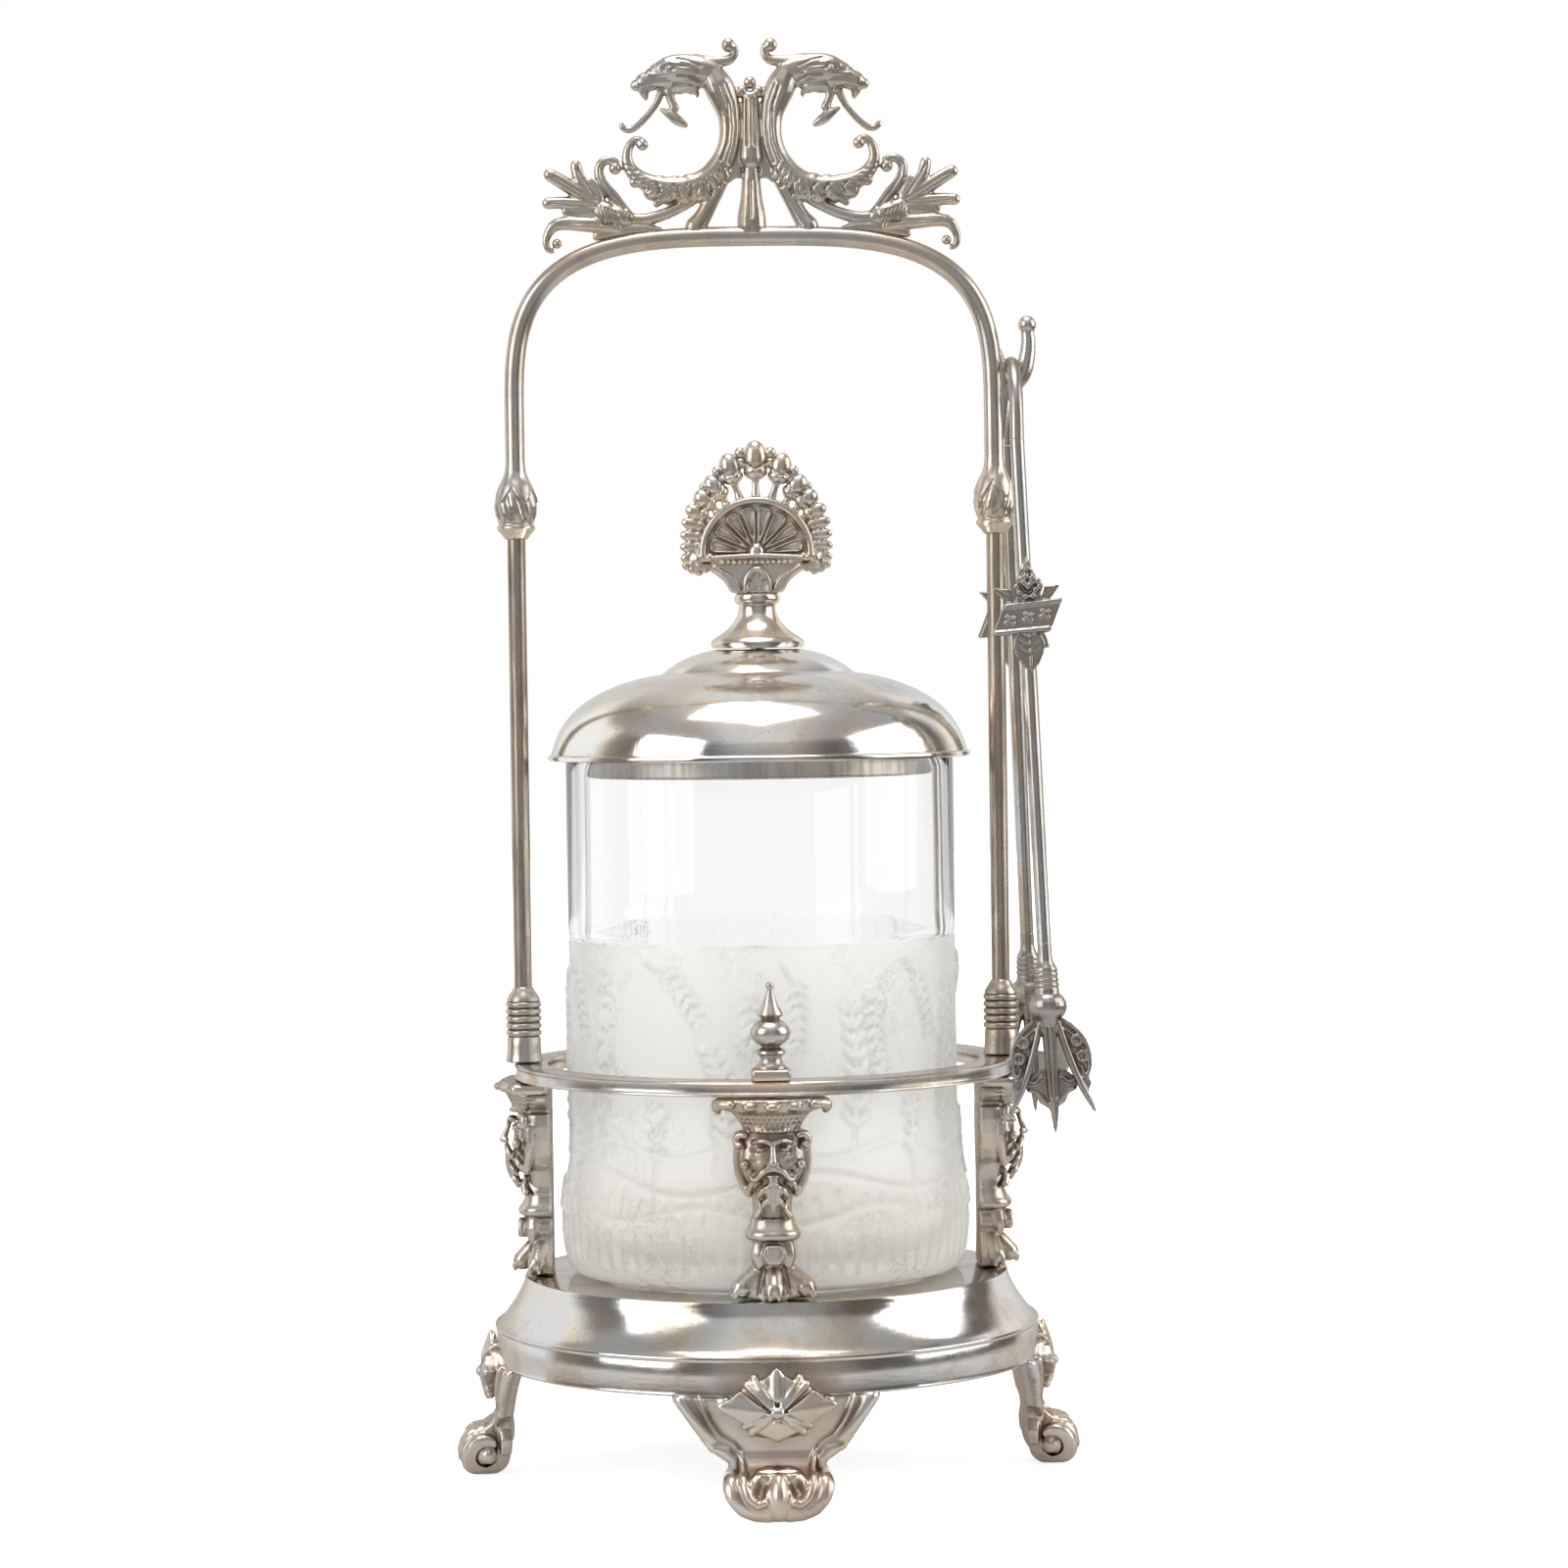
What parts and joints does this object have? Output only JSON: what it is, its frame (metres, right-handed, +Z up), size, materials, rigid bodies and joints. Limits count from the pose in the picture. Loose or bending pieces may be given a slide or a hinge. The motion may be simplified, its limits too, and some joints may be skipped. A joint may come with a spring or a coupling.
{
  "type": "pickle castor",
  "caption": "Plated stand with figured posts, ring and tall crested handle that holds a lidded glass pickle jar and hanging tongs.",
  "frame": {"origin": "on the surface that the stand rests on, under the middle of the stand", "axes": "+Z up; -Y to the front, where the lone finial shows before the jar; +X to the side where the tongs hang"},
  "size_m": [0.1255, 0.1226, 0.2904],
  "materials": {
    "polished_plate": "worn polished silver plate, warm grey with brown tarnish in the recesses",
    "tarnished_plate": "cast silver plate, satin on the high points and dark brown in the recesses",
    "tong_metal": "dull grey plated tongs",
    "jar_glass": "clear glass at the top, frosted off-white glass below"
  },
  "bodies": {
    "stand": {"base_plate": "polished_plate", "foot_front": "tarnished_plate", "post_front": "tarnished_plate", "post_screw_front": "tarnished_plate", "foot_right": "tarnished_plate", "post_right": "tarnished_plate", "post_screw_right": "tarnished_plate", "foot_back": "tarnished_plate", "post_back": "tarnished_plate", "post_screw_back": "tarnished_plate", "foot_left": "tarnished_plate", "post_left": "tarnished_plate", "post_screw_left": "tarnished_plate", "gallery_ring": "polished_plate", "finial_front": "polished_plate", "finial_back": "polished_plate", "ferrule_left": "tarnished_plate", "rod_left": "polished_plate", "knop_left": "tarnished_plate", "ferrule_right": "tarnished_plate", "rod_right": "polished_plate", "knop_right": "tarnished_plate", "handle_arch": "polished_plate", "crest": "tarnished_plate", "tong_hook": "tarnished_plate"},
    "jar": {"jar_glass": "jar_glass"},
    "lid": {"lid_dome": "polished_plate", "lid_inner_collar": "polished_plate", "lid_stem": "polished_plate", "lid_fan_finial": "tarnished_plate", "lid_nut": "tarnished_plate"},
    "tongs": {"tong_bow": "tong_metal"},
    "tong_arm_front": {"tong_leg_front": "tong_metal", "tong_plaque_front": "tong_metal", "tong_claw_front": "tong_metal"},
    "tong_arm_rear": {"tong_leg_rear": "tong_metal", "tong_plaque_rear": "tong_metal", "tong_claw_rear": "tong_metal"}
  },
  "joints": [
    {"name": "jar_lift", "type": "slide", "parent": "stand", "child": "jar", "axis": [0, 0, 1], "range_m": [0, 0.024]},
    {"name": "lid_lift", "type": "slide", "parent": "jar", "child": "lid", "axis": [0, 0, 1], "range_m": [0, 0.013]},
    {"name": "tongs_lift", "type": "slide", "parent": "stand", "child": "tongs", "axis": [0, 0, 1], "range_m": [0, 0.016]},
    {"name": "tong_front_squeeze", "type": "hinge", "parent": "tongs", "child": "tong_arm_front", "pos_m": [0.0522, -0.012, 0.2079], "axis": [1, 0, 0], "range_deg": [0, 1.4], "stiffness_Nm_per_rad": 0.6},
    {"name": "tong_rear_squeeze", "type": "hinge", "parent": "tongs", "child": "tong_arm_rear", "pos_m": [0.0522, 0.012, 0.2079], "axis": [-1, 0, 0], "range_deg": [0, 1.4], "stiffness_Nm_per_rad": 0.6}
  ],
  "couplings": [
    {"joint": "tong_rear_squeeze", "follows": "tong_front_squeeze", "ratio": 1}
  ]
}
